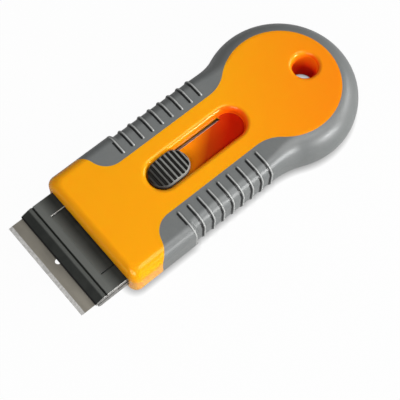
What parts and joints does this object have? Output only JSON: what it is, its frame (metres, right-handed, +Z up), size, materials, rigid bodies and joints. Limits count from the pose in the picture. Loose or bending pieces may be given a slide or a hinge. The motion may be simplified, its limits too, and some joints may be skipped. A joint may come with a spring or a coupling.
{
  "type": "razor blade scraper",
  "caption": "Retractable razor blade scraper: flat paddle handle with soft ribbed sides, a thumb button that slides the blade holder in and out of the mouth, and a hang hole in the tail.",
  "frame": {"origin": "middle of the scraper's length and width, on the plane of its underside", "axes": "+X from the blade's edge towards the round tail, +Y across the blade, +Z up out of the face with the thumb button"},
  "size_m": [0.1308, 0.055, 0.0157],
  "materials": {
    "orange_shell": "smooth moulded, satin gloss",
    "grey_grip": "soft over-moulded rubber, matte",
    "charcoal": "fine moulded texture",
    "steel": "ground and brushed"
  },
  "bodies": {
    "handle": {"top_shell": "orange_shell", "bottom_shell": "orange_shell", "upper_grip": "grey_grip", "lower_grip": "grey_grip", "shell_screws": "steel"},
    "carriage": {"blade_carriage": "charcoal", "upper_jaw": "charcoal", "jaw_screws": "steel", "blade": "steel", "blade_spine": "steel", "lock_spring": "steel", "spring_rivet": "steel"},
    "button": {"thumb_button": "charcoal"}
  },
  "joints": [
    {"name": "blade_slide", "type": "slide", "parent": "handle", "child": "carriage", "axis": [1, 0, 0], "range_m": [0, 0.02], "deforming": ["lock_spring"]},
    {"name": "button_press", "type": "slide", "parent": "carriage", "child": "button", "axis": [0, 0, -1], "range_m": [0, 0.001], "stiffness_N_per_m": 2000, "deforming": ["lock_spring"]}
  ]
}
